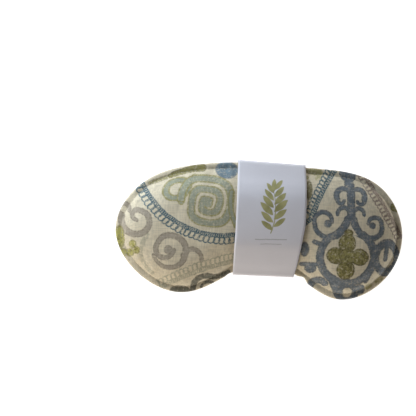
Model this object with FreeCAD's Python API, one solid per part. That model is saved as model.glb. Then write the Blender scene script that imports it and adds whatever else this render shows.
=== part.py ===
"""A mask-shaped eye pillow: a flax-filled insert in a removable topstitched cover, in a paper belly band.

The pillow lies face up. +X runs along its length, +Y points to the forehead edge and +Z up, and the
nose notch opens to -Y. The origin is the bottom centre of the whole object, on the surface it rests on.
Each sub-part is written to its own STEP file. Lengths are in millimetres.
"""
import math
import os

import FreeCAD
import Part

Vector = FreeCAD.Vector

# The cover's outline, clockwise from the forehead edge. The pillow is sewn by hand, so its left lobe is
# a little longer and slimmer than the right one, and the nose notch isn't quite at the middle.
LENGTH = 241.0
HALF = LENGTH / 2
FOREHEAD_Y = 54.6
NOTCH = (3.7, -27.6)
OUTLINE = [
    (4.0, FOREHEAD_Y), (55.0, 52.7), (98.5, 41.5), (HALF, 4.0), (106.0, -39.2), (68.0, -55.9),
    (33.0, -37.4), NOTCH, (-22.5, -38.6), (-61.0, -55.9), (-100.0, -41.3), (-HALF, -3.5),
    (-101.0, 33.3), (-50.0, 52.6),
]

# The spine is the line along which the pillow is thickest. It rises over the notch.
SPINE_REACH = 0.6  # its half-length, as a share of the pillow's
SPINE_Y = -2.0
SPINE_RISE = 15.0
SPINE_RISE_WIDTH = 40.0

RIM_WIDTH = 6.0  # flat topstitched rim, from the edge to the stitched furrow
RIM_THICK = 2.2  # two cloths and their two turned-in seam allowances
SEAM_Z = 7.0  # height of the seam plane over the surface, with the pillow resting on its fill
CROWN_Z = 22.0  # height of the pillow
CLOTH = 0.6  # the cover's printed linen
GAP = 0.4  # clearance between the cover and the insert
LAP_GAP = 0.1
FRONT_REACH = 0.85  # where the crown levels off, as a share of the way from the furrow to the spine
BACK_REACH = 0.5  # where the back lies flat
ARCH_HALF = 60.0  # the banded waist stands off the surface as a low arch, centred on the band
ARCH_RISE = 2.5

LAP_HALF = 19.0  # half the overlap of the two back panels, which lies under the band
HEM_IN = 6.0  # from a hem's fold to its stitch line
WALL_INSET = RIM_WIDTH + CLOTH

INSERT_INSET = 8.0
INSERT_RIM = 4.0
INSERT_EDGE = INSERT_INSET + INSERT_RIM
INSERT_CLOTH = 0.4  # plain muslin
FILL_GAP = 0.1
FILL_INSET = INSERT_EDGE + 1.6

THREAD = 0.44
STITCH = 2.6
STITCH_PITCH = 3.6
FINE_THREAD = 0.3
FINE_STITCH = 2.0
FINE_PITCH = 2.8
THREAD_GAP = 0.03

BAND_WIDTH = 57.0
BAND_X = 8.2  # the band sits a little to the right of the middle
PAPER = 0.3
# The strip's inner face in Y and Z. The ends run straight, one over the other, at the middle of the
# back. Between them the strip goes round the forehead edge, over the front and round the notch side.
LAP_Y = (-5.5, 6.5)
LAP_UPPER_Z = 1.3
LAP_LOWER_Z = 0.8
BAND_LOOP = [
    (LAP_Y[1], LAP_UPPER_Z), (37.0, 1.35), (44.5, 2.5), (50.0, 4.2), (55.5, 5.0), (56.5, 7.2),
    (55.4, 9.1), (44.0, 14.3), (35.5, 18.5), (26.0, 21.6), (13.0, 22.6), (0.0, 22.5),
    (-12.0, 21.2), (-22.0, 17.1), (-31.0, 12.8), (-40.8, 9.0), (-41.9, 7.2), (-40.8, 5.3),
    (-34.0, 3.4), (-27.0, 1.75), (-20.0, 1.1), (LAP_Y[0], LAP_LOWER_Z),
]
GLUE = 0.1
GLUE_LENGTH = 8.0
GLUE_MARGIN = 4.0

SAMPLES = 40
RINGS = 6
BAND_SAMPLES = 72
SPAN = 200.0


def closed_curve(points):
    curve = Part.BSplineCurve()
    curve.interpolate(points, PeriodicFlag=True)
    return curve.toShape()


def outline():
    """The cover's edge."""
    return closed_curve([Vector(x, y, 0) for x, y in OUTLINE])


def along(edge, count):
    """Evenly spaced (point, direction) pairs round a closed edge."""
    at = [edge.getParameterByLength(edge.Length * k / count) for k in range(count)]
    return [(edge.valueAt(u), edge.tangentAt(u)) for u in at]


EDGE_POINTS = along(outline(), SAMPLES)


def toward_spine(x):
    """The point of the spine that an edge point at x is drawn in to."""
    x *= SPINE_REACH
    return Vector(x, SPINE_Y + SPINE_RISE * math.exp(-(((x - NOTCH[0]) / SPINE_RISE_WIDTH) ** 2)), 0)


def ring_wire(inset, share=0.0, z=0.0):
    """The outline moved inward by inset, then by a share of the way to the spine, at height z."""
    points = []
    for point, direction in EDGE_POINTS:
        start = point + Vector(direction.y, -direction.x, 0) * inset
        points.append(start + (toward_spine(point.x) - start) * share + Vector(0, 0, z))
    return Part.Wire(closed_curve(points))


def prism(inset, low, high):
    return Part.Face(ring_wire(inset, 0.0, low)).extrude(Vector(0, 0, high - low))


def dome(inset, edge_z, flat_z, reach):
    """A solid with a flat base at edge_z, swelling up or down until it levels off at flat_z."""
    wires = []
    for k in range(RINGS + 1):
        t = k / RINGS
        wires.append(ring_wire(inset, reach * t, edge_z + (flat_z - edge_z) * (1 - (1 - t) ** 2)))
    return Part.makeLoft(wires, True)


def slab(x0, x1):
    """All of the space between two values of X."""
    return Part.makeBox(x1 - x0, SPAN, SPAN, Vector(x0, -SPAN / 2, -SPAN / 2))


def arch(rise):
    """The space under the banded waist, raised by rise."""
    ends = [Vector(BAND_X + side * ARCH_HALF, -SPAN / 2, rise) for side in (-1, 1)]
    crown = Vector(BAND_X, -SPAN / 2, rise + ARCH_RISE)
    deep = [end - Vector(0, 0, SPAN) for end in ends]
    curve = Part.Arc(ends[0], crown, ends[1]).toShape()
    sides = Part.makePolygon([ends[1], deep[1], deep[0], ends[0]])
    return Part.Face(Part.Wire([curve, *sides.Edges])).extrude(Vector(0, SPAN, 0))


def front_hollow():
    """The space inside the front panel."""
    wall = prism(WALL_INSET, SEAM_Z - 1, SEAM_Z + RIM_THICK / 2 - CLOTH)
    return wall.fuse(dome(WALL_INSET, SEAM_Z + RIM_THICK / 2 - CLOTH, CROWN_Z - CLOTH, FRONT_REACH))


def cover_front():
    top = SEAM_Z + RIM_THICK / 2
    body = prism(0, SEAM_Z, top).fuse(dome(RIM_WIDTH, top, CROWN_Z, FRONT_REACH))
    return body.cut(front_hollow())


def back_bowl(rise):
    """The space over the back panels' inner face, raised by rise, up to just over the furrow."""
    edge_z = SEAM_Z - RIM_THICK / 2 + CLOTH + rise
    return dome(WALL_INSET, edge_z, CLOTH + rise, BACK_REACH).cut(arch(CLOTH + rise))


def back_skin():
    """Both back panels in one, with no overlap."""
    bottom = SEAM_Z - RIM_THICK / 2
    body = prism(0, bottom, SEAM_Z).fuse(dome(RIM_WIDTH, bottom, 0, BACK_REACH)).cut(arch(0))
    return body.cut(prism(WALL_INSET, bottom + CLOTH, SEAM_Z + 1)).cut(back_bowl(0))


def cover_backs():
    """The left panel, hemmed under the band, and the right one, which laps over it on the inside."""
    skin = back_skin()
    hem = BAND_X + LAP_HALF
    join = hem + GAP
    left = skin.common(slab(-SPAN, hem))
    right = skin.common(slab(join, SPAN))
    above = back_bowl(LAP_GAP + CLOTH)
    lap = back_bowl(LAP_GAP).cut(above).common(slab(BAND_X - LAP_HALF, join + CLOTH))
    step = back_bowl(-LAP_GAP).cut(above).common(slab(join, join + CLOTH))
    return left, right.fuse(lap).fuse(step)


INSERT_TOP_Z = CROWN_Z - CLOTH - GAP
INSERT_BOTTOM_Z = 2 * CLOTH + LAP_GAP + GAP


def insert_hollow(side, spare=0.0, inset=INSERT_EDGE + INSERT_CLOTH):
    """The space inside one insert panel, made smaller all over by spare."""
    inner = INSERT_CLOTH + spare
    if side > 0:
        return dome(inset, SEAM_Z, INSERT_TOP_Z - inner, FRONT_REACH)
    bowl = dome(inset, SEAM_Z, INSERT_BOTTOM_Z + inner, BACK_REACH)
    return bowl.cut(arch(INSERT_BOTTOM_Z + inner))


def insert_panel(side):
    rim_z = SEAM_Z + side * INSERT_CLOTH
    rim = prism(INSERT_INSET, min(SEAM_Z, rim_z), max(SEAM_Z, rim_z))
    if side > 0:
        body = dome(INSERT_EDGE, rim_z, INSERT_TOP_Z, FRONT_REACH)
    else:
        body = dome(INSERT_EDGE, rim_z, INSERT_BOTTOM_Z, BACK_REACH).cut(arch(INSERT_BOTTOM_Z))
    return rim.fuse(body).cut(insert_hollow(side))


def seed_fill():
    halves = [insert_hollow(side, FILL_GAP, FILL_INSET) for side in (1, -1)]
    return halves[0].fuse(halves[1])


def stitch(middle, direction, length, thread):
    return Part.makeCylinder(thread / 2, length, middle - direction * (length / 2), direction)


def stitches_round(inset, heights, length, pitch, thread):
    """Stitches round the pillow at each of the given heights."""
    edge = ring_wire(inset).Edges[0]
    places = along(edge, round(edge.Length / pitch))
    made = [stitch(p + Vector(0, 0, z), t, length, thread) for z in heights for p, t in places]
    return Part.makeCompound(made)


def both_faces(half_thick, thread):
    """The heights of the threads on the two faces of a rim."""
    off = half_thick + thread / 2 + THREAD_GAP
    return [SEAM_Z + off, SEAM_Z - off]


def hem_stitches(x, cloth_z, rise):
    """Stitches along Y on the flat stretch of a hem, x off the band's middle and rise off the cloth."""
    lift = cloth_z + ARCH_RISE * (1 - (x / ARCH_HALF) ** 2) + rise
    made = []
    y = NOTCH[1] / 2
    while y < FOREHEAD_Y / 2 + SPINE_RISE / 2:
        made.append(stitch(Vector(BAND_X + x, y, lift), Vector(0, 1, 0), STITCH, FINE_THREAD))
        y += STITCH_PITCH
    return Part.makeCompound(made)


def closing_stitches():
    """The line that closes the insert after filling, along its forehead edge."""
    y = FOREHEAD_Y - INSERT_INSET - 1.5
    z = both_faces(INSERT_CLOTH, FINE_THREAD)[0]
    places = [Vector(k * FINE_PITCH, y, z) for k in range(-9, 10)]
    return Part.makeCompound([stitch(p, Vector(1, 0, 0), FINE_STITCH, FINE_THREAD) for p in places])


def loop_spline(points):
    """A curve that leaves and arrives along +Y."""
    curve = Part.BSplineCurve()
    flat = Vector(0, 1, 0)
    curve.interpolate(Points=points, InitialTangent=flat, FinalTangent=flat)
    return curve.toShape()


def paper_band():
    """The paper strip, one sheet thick, with its two ends lapped at the back."""
    inner = loop_spline([Vector(0, y, z) for y, z in BAND_LOOP])
    outer_points = []
    for k in range(BAND_SAMPLES + 1):
        u = inner.getParameterByLength(inner.Length * k / BAND_SAMPLES)
        direction = inner.tangentAt(u)
        outer_points.append(inner.valueAt(u) + Vector(0, direction.z, -direction.y) * PAPER)
    outer = loop_spline(outer_points)
    run = Vector(0, LAP_Y[1] - LAP_Y[0], 0)
    inner_start, inner_end = Vector(0, *BAND_LOOP[0]), Vector(0, *BAND_LOOP[-1])
    outer_start, outer_end = outer_points[0], outer_points[-1]
    tail = [inner_end, inner_end + run, outer_end + run, outer_end]
    head = [outer_start, outer_start - run, inner_start - run, inner_start]
    lines = Part.makePolygon(tail).Edges + Part.makePolygon(head).Edges
    wire = Part.Wire(Part.__sortEdges__([inner, outer, *lines]))
    section = Part.Face(wire)
    section.translate(Vector(BAND_X - BAND_WIDTH / 2, 0, 0))
    return section.extrude(Vector(BAND_WIDTH, 0, 0))


def band_glue():
    """The glue line between the lapped ends."""
    size_x = BAND_WIDTH - 2 * GLUE_MARGIN
    y = (LAP_Y[0] + LAP_Y[1] - GLUE_LENGTH) / 2
    z = (LAP_LOWER_Z + LAP_UPPER_Z - PAPER - GLUE) / 2
    return Part.makeBox(size_x, GLUE_LENGTH, GLUE, Vector(BAND_X - size_x / 2, y, z))


def main():
    os.makedirs("parts", exist_ok=True)
    back_left, back_right = cover_backs()
    lap_top = 2 * CLOTH + LAP_GAP
    hem_off = FINE_THREAD / 2 + 2 * THREAD_GAP
    nodes = {
        "cover_front": cover_front(),
        "cover_back_left": back_left,
        "cover_back_right": back_right,
        "edge_topstitch": stitches_round(
            RIM_WIDTH - 1.1, both_faces(RIM_THICK / 2, THREAD), STITCH, STITCH_PITCH, THREAD
        ),
        "hem_stitch_left": hem_stitches(LAP_HALF - HEM_IN, 0, -hem_off),
        "hem_stitch_right": hem_stitches(HEM_IN - LAP_HALF, lap_top, hem_off),
        "insert_front": insert_panel(1),
        "insert_back": insert_panel(-1),
        "insert_seam_stitch": stitches_round(
            INSERT_EDGE - 0.6, both_faces(INSERT_CLOTH, FINE_THREAD), FINE_STITCH, FINE_PITCH,
            FINE_THREAD,
        ),
        "insert_closing_stitch": closing_stitches(),
        "seed_fill": seed_fill(),
        "paper_band": paper_band(),
        "band_glue": band_glue(),
    }
    for name, shape in nodes.items():
        solids = shape.Solids
        kept = solids[0] if len(solids) == 1 else Part.makeCompound(solids)
        kept.exportStep(f"parts/{name}.step")
        box = kept.BoundBox
        print(
            f"{name:22} solids {len(solids):4} valid {kept.isValid()} volume {kept.Volume:9.1f}"
            f"  x {box.XMin:.1f} {box.XMax:.1f}  y {box.YMin:.2f} {box.YMax:.2f}"
            f"  z {box.ZMin:.2f} {box.ZMax:.2f}"
        )


main()
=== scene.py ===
"""An eye pillow in its paper band: the looks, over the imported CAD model.

The shapes are worked out in millimetres in the row frame, and the meshes are made in metres.
"""
import functools
import math

import bmesh
import bpy
import numpy as np
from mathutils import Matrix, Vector, geometry, noise
from mathutils.bvhtree import BVHTree
from mathutils.kdtree import KDTree


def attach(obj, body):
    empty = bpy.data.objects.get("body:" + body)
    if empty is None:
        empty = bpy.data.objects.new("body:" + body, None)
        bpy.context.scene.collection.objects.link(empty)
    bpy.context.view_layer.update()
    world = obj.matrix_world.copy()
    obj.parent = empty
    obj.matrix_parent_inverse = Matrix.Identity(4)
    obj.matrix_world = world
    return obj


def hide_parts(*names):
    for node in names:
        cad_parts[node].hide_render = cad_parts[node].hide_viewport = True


MM = 0.001

SEAM_Z = 7.0
RIM_HALF = 1.1  # half the rim's thickness
CROWN_Z = 22.0
CLOTH = 0.6
STITCH_INSET = 4.9  # the topstitched furrow
PIN_INSET = 5.6  # the cloth swells from here inward
BAND_X = 8.2
BAND_WIDTH = 57.0
PAPER = 0.3
HEM_X = 27.2  # the left back panel's hem
LAP_X = -10.8  # the end of the right back panel, inside the left one
ARCH_HALF = 60.0
ARCH_RISE = 2.5

# The paper strip's inner face in Y and Z, from its head at the middle of the back, round the forehead
# edge, over the front, round the notch side and back under its own head.
BAND_PATH = [
    (-5.5, 1.3), (6.5, 1.3), (22.0, 1.3), (37.0, 1.35), (44.5, 2.5), (50.0, 4.2), (55.5, 5.0), (56.5, 7.2),
    (55.4, 9.1), (44.0, 14.3), (35.5, 18.5), (26.0, 21.6), (13.0, 22.6), (0.0, 22.5), (-12.0, 21.2),
    (-22.0, 17.1), (-31.0, 12.8), (-40.8, 9.0), (-41.9, 7.2), (-40.8, 5.3), (-34.0, 3.4), (-27.0, 1.75),
    (-20.0, 1.1), (-5.5, 0.8), (6.5, 0.8),
]

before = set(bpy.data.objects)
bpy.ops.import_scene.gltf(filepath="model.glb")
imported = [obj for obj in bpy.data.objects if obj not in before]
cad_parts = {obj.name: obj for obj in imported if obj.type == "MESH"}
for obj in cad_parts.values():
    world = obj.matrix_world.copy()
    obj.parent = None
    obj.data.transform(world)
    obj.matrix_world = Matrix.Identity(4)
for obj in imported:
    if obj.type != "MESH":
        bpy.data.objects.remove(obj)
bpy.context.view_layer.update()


# ---- small helpers


def smoothstep(low, high, value):
    t = np.clip((value - low) / (high - low), 0.0, 1.0)
    return t * t * (3 - 2 * t)


def soft_min(a, b, width):
    """The smaller of a and b, rounded over width where they meet."""
    gap = np.clip(0.5 + 0.5 * (b - a) / width, 0.0, 1.0)
    return b * (1 - gap) + a * gap - width * gap * (1 - gap)


def soft_max(a, b, width):
    return -soft_min(-a, -b, width)


def noise_at(points, size, seed):
    """Smooth noise from -1 to 1 with features of about size."""
    return np.array([noise.noise(Vector(p) / size + Vector((seed, 3.1 * seed, 0.7))) for p in points])


def smooth_path(points, step):
    """A Catmull-Rom curve through points, sampled about every step."""
    p = np.array([points[0], *points, points[-1]], float)
    p[0] = 2 * p[1] - p[2]
    p[-1] = 2 * p[-2] - p[-3]
    made = []
    for a, b, c, d in zip(p, p[1:], p[2:], p[3:]):
        count = max(1, round(np.linalg.norm(c - b) / step))
        for k in range(count):
            t = k / count
            curve = (2 * a - 5 * b + 4 * c - d) * t**2 + (3 * b - a - 3 * c + d) * t**3
            made.append(0.5 * (2 * b + (c - a) * t + curve))
    return np.array(made + [p[-2]])


def mesh_object(name, points, faces, material):
    mesh = bpy.data.meshes.new(name)
    mesh.from_pydata([tuple(p) for p in np.asarray(points) * MM], [], [tuple(map(int, f)) for f in faces])
    mesh.validate()
    mesh.polygons.foreach_set("use_smooth", [True] * len(mesh.polygons))
    mesh.materials.append(material)
    obj = bpy.data.objects.new(name, mesh)
    bpy.context.scene.collection.objects.link(obj)
    return obj


def mesh_arrays(obj):
    """(points in mm, faces) of an object with its modifiers applied."""
    ready = obj.evaluated_get(bpy.context.evaluated_depsgraph_get())
    mesh = ready.to_mesh()
    flat = np.empty(len(mesh.vertices) * 3)
    mesh.vertices.foreach_get("co", flat)
    faces = [tuple(p.vertices) for p in mesh.polygons]
    ready.to_mesh_clear()
    return flat.reshape(-1, 3) / MM, faces


def subdivide(points, faces):
    obj = mesh_object("rough", points, faces, None)
    modifier = obj.modifiers.new("Subdivision", "SUBSURF")
    modifier.levels = 1
    arrays = mesh_arrays(obj)
    bpy.data.objects.remove(obj)
    return arrays


def normals_of(points, faces):
    total = np.zeros_like(points)
    for size in (3, 4):
        chosen = np.array([f for f in faces if len(f) == size], int)
        if len(chosen) == 0:
            continue
        p = points[chosen]
        cross = np.cross(p[:, 1] - p[:, 0], p[:, -1] - p[:, 0])
        for k in range(size):
            np.add.at(total, chosen[:, k], cross)
    return total / np.maximum(np.linalg.norm(total, axis=1, keepdims=True), 1e-9)


def boundary_edges(faces):
    """The directed edges that only one face has."""
    edges = {(f[k], f[(k + 1) % len(f)]) for f in faces for k in range(len(f))}
    return [(a, b) for a, b in edges if (b, a) not in edges]


def closed_shell(outer, inner, faces):
    """A solid sheet: the outer face, the inner one turned round, and a strip along each border."""
    count = len(outer)
    made = list(faces)
    made += [tuple(i + count for i in reversed(f)) for f in faces]
    made += [(b, a, a + count, b + count) for a, b in boundary_edges(faces)]
    return np.vstack([outer, inner]), made


def part_of(points, faces, keep):
    """The faces whose points are all kept, with the loose points dropped."""
    chosen = [f for f in faces if all(keep[i] for i in f)]
    used = sorted({i for f in chosen for i in f})
    index = {old: new for new, old in enumerate(used)}
    return points[used], [tuple(index[i] for i in f) for f in chosen], used


# ---- the plan of the cushion


EDGE_SAMPLES = 6000


def cover_edge():
    """(points, distance along) round the cover's edge, anticlockwise, read from the CAD cover."""
    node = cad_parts["cover_front"]
    points = np.array([v.co for v in node.data.vertices]) / MM
    low = points[np.abs(points[:, 2] - SEAM_Z) < 0.01][:, :2]
    high = points[np.abs(points[:, 2] - SEAM_Z - RIM_HALF) < 0.01][:, :2]
    near = np.array([np.min(np.abs(high - p).sum(axis=1)) for p in low])
    wall = np.unique(low[near < 0.02].round(3), axis=0)
    centre = np.array([0.0, 13.0])
    angle = np.arctan2(*(wall - centre).T[::-1])
    order = np.argsort(angle)
    radius = np.linalg.norm(wall - centre, axis=1)[order]
    steps = np.arange(EDGE_SAMPLES) / EDGE_SAMPLES * 2 * math.pi - math.pi
    wave = np.fft.rfft(np.interp(steps, angle[order], radius, period=2 * math.pi))
    wave[40:] = 0
    radius = np.fft.irfft(wave, EDGE_SAMPLES)
    ring = centre + np.stack([radius * np.cos(steps), radius * np.sin(steps)], axis=1)
    along = np.concatenate([[0], np.cumsum(np.linalg.norm(np.roll(ring, -1, axis=0) - ring, axis=1))])
    return ring, along


EDGE, EDGE_ALONG = cover_edge()
GIRTH = EDGE_ALONG[-1]


def edge_ring(inset, count):
    """Evenly spaced points on the outline moved inward, and their directions of travel."""
    closed = np.vstack([EDGE, EDGE[:1]])
    at = np.arange(count) / count * GIRTH

    def place(s):
        s = s % GIRTH
        return np.stack([np.interp(s, EDGE_ALONG, closed[:, k]) for k in (0, 1)], axis=1)

    ahead = place(at + 1.0) - place(at - 1.0)
    ahead /= np.linalg.norm(ahead, axis=1, keepdims=True)
    return place(at) + np.stack([-ahead[:, 1], ahead[:, 0]], axis=1) * inset, ahead


EDGE_TREE = KDTree(len(EDGE))
for edge_index, edge_point in enumerate(EDGE):
    EDGE_TREE.insert((*edge_point, 0), edge_index)
EDGE_TREE.balance()


def edge_distance(points):
    """(distance from the outline, place along it) for points in plan."""
    found = [EDGE_TREE.find((p[0], p[1], 0)) for p in points]
    return np.array([f[2] for f in found]), EDGE_ALONG[[f[1] for f in found]]


RING_COUNT = 316
RING_INSETS = (0.0, 1.0, 2.3, 3.7, STITCH_INSET, 6.1, 7.5, 9.3)
PLAN_STEP = 2.5


def cushion_plan():
    """A triangulated plan of the cushion, with rings that follow its seam."""
    rings = [edge_ring(inset, RING_COUNT)[0] for inset in RING_INSETS]
    rows = []
    for j, y in enumerate(np.arange(-60, 60, PLAN_STEP * 0.866)):
        shift = PLAN_STEP / 2 * (j % 2)
        rows += [(x + shift, y) for x in np.arange(-125, 125, PLAN_STEP)]
    grid = np.array(rows) + np.random.default_rng(7).uniform(-0.6, 0.6, (len(rows), 2))
    from_centre = grid - (0.0, 13.0)
    reach = EDGE - (0.0, 13.0)
    edge_angle = np.arctan2(reach[:, 1], reach[:, 0])
    order = np.argsort(edge_angle)
    limit = np.interp(
        np.arctan2(from_centre[:, 1], from_centre[:, 0]), edge_angle[order],
        np.linalg.norm(reach, axis=1)[order], period=2 * math.pi,
    )
    inside = np.linalg.norm(from_centre, axis=1) < limit
    depth = edge_distance(grid)[0]
    points = np.vstack([*rings, grid[inside & (depth > RING_INSETS[-1] + 1.6)]])
    border = [(k, (k + 1) % RING_COUNT) for k in range(RING_COUNT)]
    made = geometry.delaunay_2d_cdt([Vector(p) for p in points], border, [], 1, 1e-5)
    flat = np.array([tuple(p) for p in made[0]])
    faces = []
    for f in made[2]:
        a, b, c = (flat[i] for i in f)
        turn = (b[0] - a[0]) * (c[1] - a[1]) - (b[1] - a[1]) * (c[0] - a[0])
        faces.append(tuple(f) if turn > 0 else tuple(reversed(f)))
    return np.column_stack([flat, np.zeros(len(flat))]), faces


PLAN_SCALE = 4.0  # the cloth is simulated at four times its size, where the solver is steady
SWELL_FRAMES = 20
CLOTH_SETTINGS = dict(
    quality=5, mass=0.3, vertex_group_mass="held", tension_stiffness=25, compression_stiffness=25,
    shear_stiffness=8, bending_stiffness=0.6, shrink_min=-0.012, air_damping=8, use_pressure=True,
    uniform_pressure_force=12,
)


def swell(points, faces):
    """The plan swollen by pressure from below, held round its seam."""
    obj = mesh_object("swelling", points * PLAN_SCALE, faces, None)
    held = obj.vertex_groups.new(name="held")
    depth = edge_distance(points)[0]
    held.add([int(i) for i in np.nonzero(depth < PIN_INSET)[0]], 1.0, "REPLACE")
    cloth = obj.modifiers.new("Cloth", "CLOTH")
    for name, value in CLOTH_SETTINGS.items():
        setattr(cloth.settings, name, value)
    cloth.settings.effector_weights.gravity = 0
    cloth.collision_settings.use_collision = False
    scene = bpy.context.scene
    for step in range(1, SWELL_FRAMES + 1):
        scene.frame_set(step)
    swollen = mesh_arrays(obj)[0] / PLAN_SCALE
    scene.frame_set(1)
    bpy.data.objects.remove(obj)
    return swollen


BAND_FOLD_Y = -38.9  # where the strip turns under at the notch side


def relaxed(values, faces, rounds):
    """A number per point, smoothed over its neighbours."""
    pairs = np.array([(f[k], f[(k + 1) % len(f)]) for f in faces for k in range(len(f))])
    pairs = np.unique(np.sort(pairs, axis=1), axis=0)
    count = np.bincount(pairs.ravel(), minlength=len(values))
    for _ in range(rounds):
        total = np.bincount(pairs[:, 0], values[pairs[:, 1]], len(values))
        total += np.bincount(pairs[:, 1], values[pairs[:, 0]], len(values))
        values = 0.5 * values + 0.5 * total / np.maximum(count, 1)
    return values


def band_face_z():
    """The strip's inner face over the front and under the back: (Y, height) in rising order of Y."""
    path = smooth_path(BAND_PATH, 1.0)
    top, under = path[path[:, 1] > 8.2], path[path[:, 1] < 5.4]
    return top[np.argsort(top[:, 0])], under[np.argsort(under[:, 0])]


BAND_TOP, BAND_UNDER = band_face_z()
BAND_CLEAR = 0.5  # what the back stands off the strip under it, before its hem's ridge


def rim_profile(depth):
    """Height of the cover's front over the seam, from its edge to past the furrow."""
    at = (0.0, 0.25, 1.1, 2.6, 3.9, STITCH_INSET, 6.0, 7.0)
    height = (0.04, 0.5, 1.15, 1.25, 0.95, 0.36, 0.98, RIM_HALF)
    return np.interp(depth, at, height)


def floor_under(x):
    """The lowest the back lies: on the surface, or on the low arch under the band."""
    return 0.12 + np.maximum(ARCH_RISE * (1 - ((x - BAND_X) / ARCH_HALF) ** 2), 0)


def cushion_faces():
    """(front, back, faces): the cover's two outer faces over one fine plan, and their common topology."""
    plan, faces = cushion_plan()
    swollen = swell(plan, faces)
    lift = relaxed(np.maximum(swollen[:, 2], 0), faces, 6)
    shift = relaxed(swollen[:, 0] - plan[:, 0], faces, 6), relaxed(swollen[:, 1] - plan[:, 1], faces, 6)
    held = smoothstep(PIN_INSET, PIN_INSET + 4, edge_distance(plan)[0])
    plan = plan + np.column_stack([shift[0] * held, shift[1] * held, lift / lift.max()])
    fine, faces = subdivide(plan, faces)
    swollen_share = fine[:, 2] / fine[:, 2].max()
    flat = fine * (1, 1, 0)
    depth, place = edge_distance(flat)

    round_rim = np.column_stack([np.cos(place / GIRTH * 2 * math.pi), np.sin(place / GIRTH * 2 * math.pi)])
    round_rim = np.column_stack([round_rim * GIRTH / 2 / math.pi, np.zeros(len(place))])
    pucker = noise_at(round_rim, 5.0, 1.0) * np.exp(-(((depth - 7.6) / 3.2) ** 2))
    pucker += 0.6 * noise_at(round_rim, 3.4, 2.0) * np.exp(-(((depth - 3.4) / 1.6) ** 2))
    long_wave = noise_at(round_rim, 38.0, 3.0) * (1 - smoothstep(6, 26, depth))
    lumps = noise_at(flat, 17.0, 4.0) + 0.6 * noise_at(flat, 8.0, 5.0)
    away = smoothstep(8, 20, depth)

    full = 1 - (1 - swollen_share) ** 1.75
    front = SEAM_Z + rim_profile(depth) + (CROWN_Z - SEAM_Z - RIM_HALF - 0.5) * full
    front += 0.42 * pucker + 0.55 * long_wave + 0.42 * lumps * away
    edges = smoothstep(BAND_X - BAND_WIDTH / 2 - 7, BAND_X - BAND_WIDTH / 2 - 1, flat[:, 0])
    edges *= 1 - smoothstep(BAND_X + BAND_WIDTH / 2 + 1, BAND_X + BAND_WIDTH / 2 + 7, flat[:, 0])
    held_down = np.interp(flat[:, 1], BAND_TOP[:, 0], BAND_TOP[:, 1]) - 0.45
    front = np.where(depth > 1.5, front * (1 - edges) + soft_min(front, held_down, 0.8) * edges, front)

    low = floor_under(flat[:, 0]) + 0.22 * np.abs(noise_at(flat, 11.0, 6.0)) * smoothstep(6, 14, depth)
    held_up = np.interp(flat[:, 1], BAND_UNDER[:, 0], BAND_UNDER[:, 1]) + BAND_CLEAR
    low = np.maximum(low, low * (1 - edges) + held_up * edges)
    back = SEAM_Z - rim_profile(depth) - 9.5 * (1 - (1 - swollen_share) ** 2.6)
    back += -0.42 * pucker + 0.55 * long_wave
    back = soft_max(back, low, 1.6)
    back -= np.maximum(0, back + 0.5 - front) * (depth > 1.0)
    # The strip is drawn tight round the notch side, and gathers the rim a little.
    tight = soft_max(flat[:, 1], np.full(len(flat), BAND_FOLD_Y + 0.6), 1.5)
    flat[:, 1] = np.where(flat[:, 1] < -20, flat[:, 1] * (1 - edges) + tight * edges, flat[:, 1])
    return np.column_stack([flat[:, :2], front]), np.column_stack([flat[:, :2], back]), faces, depth


FRONT, BACK, FINE_FACES, FINE_DEPTH = cushion_faces()


def inner_face(outer, faces, thick, seam_side):
    """The outer face moved in by a cloth's thickness, kept on its own side of the seam."""
    inner = outer - normals_of(outer, faces) * thick
    if seam_side > 0:
        inner[:, 2] = np.maximum(inner[:, 2], SEAM_Z + 0.02)
    else:
        inner[:, 2] = np.minimum(inner[:, 2], SEAM_Z - 0.02)
    return inner


def tree_of(points, faces):
    return BVHTree.FromPolygons([Vector(p) for p in points], faces)


def split_at(points, faces, x, side):
    """What lies on one side of x, cut cleanly."""
    mesh = bpy.data.meshes.new("split")
    mesh.from_pydata([tuple(p) for p in points], [], faces)
    made = bmesh.new()
    made.from_mesh(mesh)
    bmesh.ops.bisect_plane(
        made, geom=made.verts[:] + made.edges[:] + made.faces[:], plane_co=(x, 0, 0), plane_no=(side, 0, 0),
        clear_inner=True,
    )
    made.to_mesh(mesh)
    made.free()
    cut = np.array([tuple(v.co) for v in mesh.vertices]), [tuple(p.vertices) for p in mesh.polygons]
    bpy.data.meshes.remove(mesh)
    return cut


# ---- materials: numbers over a surface


def srgb(red, green, blue):
    """A colour given as 0 to 255 display values, as the shader wants it."""
    shares = (red / 255, green / 255, blue / 255)
    return (*(c / 12.92 if c <= 0.04045 else ((c + 0.055) / 1.055) ** 2.4 for c in shares), 1.0)


def worked_out(operation, turned=False):
    """A method that does an operation by a node. Turned puts the other number first."""
    def method(self, *other):
        return math_node(operation, *((*other, self) if turned else (self, *other)))
    return method


class Number:
    """A number that varies over a surface, worked out by nodes as it is written."""

    def __init__(self, tree, socket):
        self.tree = tree
        self.socket = socket

    __add__ = __radd__ = worked_out("ADD")
    __sub__ = worked_out("SUBTRACT")
    __rsub__ = worked_out("SUBTRACT", turned=True)
    __mul__ = __rmul__ = worked_out("MULTIPLY")
    __truediv__ = worked_out("DIVIDE")
    __abs__ = worked_out("ABSOLUTE")


def add_node(tree, kind, inputs=(), **settings):
    """A node with its settings made and its inputs fed, each by a link or with a fixed value."""
    node = tree.nodes.new("ShaderNode" + kind)
    for name, value in settings.items():
        setattr(node, name, value)
    for key, value in dict(inputs).items():
        if isinstance(value, Number):
            value = value.socket
        if isinstance(value, bpy.types.NodeSocket):
            tree.links.new(value, node.inputs[key])
        elif value is not None:
            node.inputs[key].default_value = value
    return node


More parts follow.
